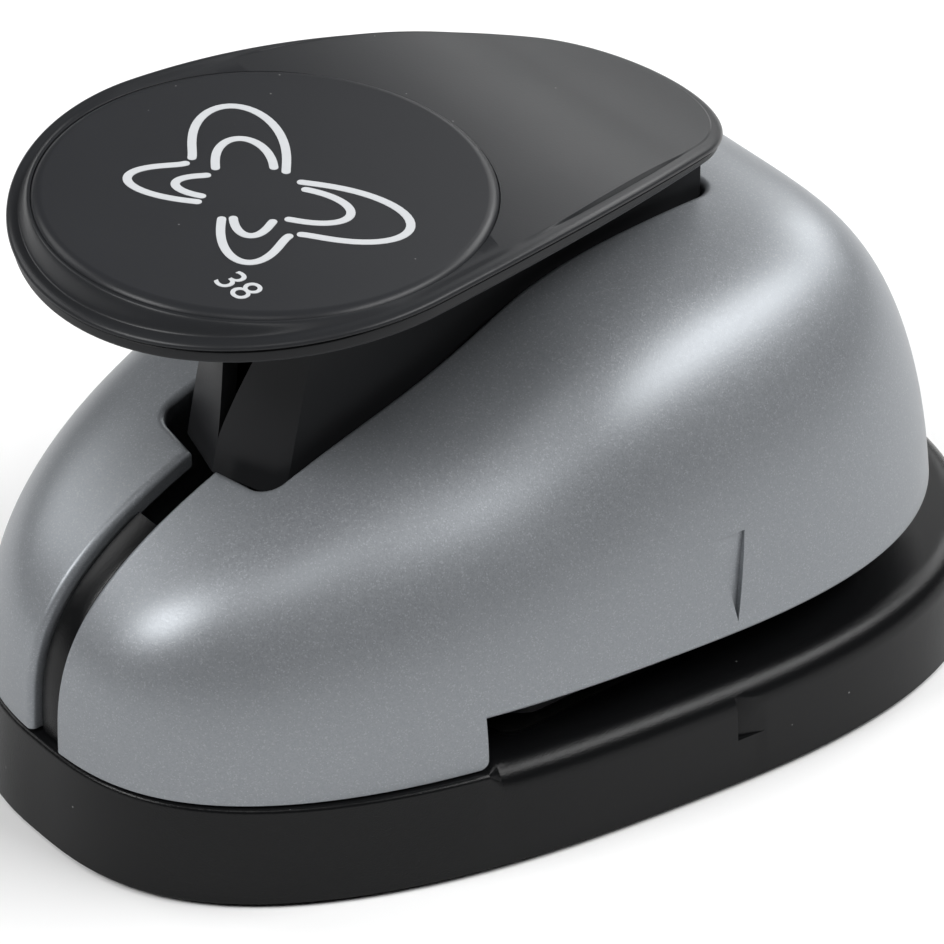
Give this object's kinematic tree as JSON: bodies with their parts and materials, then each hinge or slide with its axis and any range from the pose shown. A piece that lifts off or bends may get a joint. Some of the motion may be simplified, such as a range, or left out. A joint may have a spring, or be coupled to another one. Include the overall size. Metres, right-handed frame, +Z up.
{
  "type": "lever craft punch",
  "caption": "Table-top paper punch with a black base, a silver shell and a broad black lever with a round pad; it punches a butterfly.",
  "frame": {"origin": "under the middle of the base, on the surface that the punch stands on", "axes": "+X to the punch's left when the paper slot faces away and the pad is near, across the base; +Y from the pad to the paper slot, along the base; +Z up"},
  "size_m": [0.0748, 0.1074, 0.0657],
  "materials": {
    "black_plastic": "satin",
    "lever_plastic": "satin",
    "silver_paint": "satin",
    "pad_print": "satin",
    "steel": "satin",
    "cast_zinc": "satin",
    "white_plastic": "satin"
  },
  "bodies": {
    "housing": {"base": "black_plastic", "top_shell": "silver_paint", "front_strip": "black_plastic", "punch_frame": "cast_zinc", "die_plate": "steel", "die_screw_1": "steel", "die_screw_2": "steel", "die_screw_3": "steel", "die_screw_4": "steel", "frame_screw_1": "steel", "frame_screw_2": "steel", "frame_screw_3": "steel", "frame_screw_4": "steel", "shell_front_screw_1": "steel", "shell_front_screw_2": "steel", "shell_rear_screw_1": "steel", "shell_rear_screw_2": "steel", "hinge_pin": "steel", "pin_clip": "steel", "hinge_washer_left": "white_plastic", "hinge_washer_right": "white_plastic", "guide_post_left": "steel", "guide_post_right": "steel", "post_clip_left": "steel", "post_clip_right": "steel", "return_spring_left": "steel", "return_spring_right": "steel"},
    "plunger": {"punch": "steel", "punch_head": "cast_zinc", "press_pad": "white_plastic", "head_screw_1": "steel", "head_screw_2": "steel"},
    "lever": {"lever_body": "lever_plastic", "lever_cover": "lever_plastic", "pad_disc": "pad_print"}
  },
  "joints": [
    {"name": "lever_hinge", "type": "hinge", "parent": "housing", "child": "lever", "pos_m": [0, 0.024, 0.0425], "axis": [1, 0, 0], "range_deg": [0, 11.46], "stiffness_Nm_per_rad": 0.43, "springref_deg": -13.46},
    {"name": "punch_slide", "type": "slide", "parent": "housing", "child": "plunger", "axis": [0, 0, -1], "range_m": [0, 0.0035], "deforming": ["return_spring_left", "return_spring_right"]}
  ],
  "couplings": [
    {"joint": "punch_slide", "follows": "lever_hinge", "m_per_rad": 0.017}
  ]
}
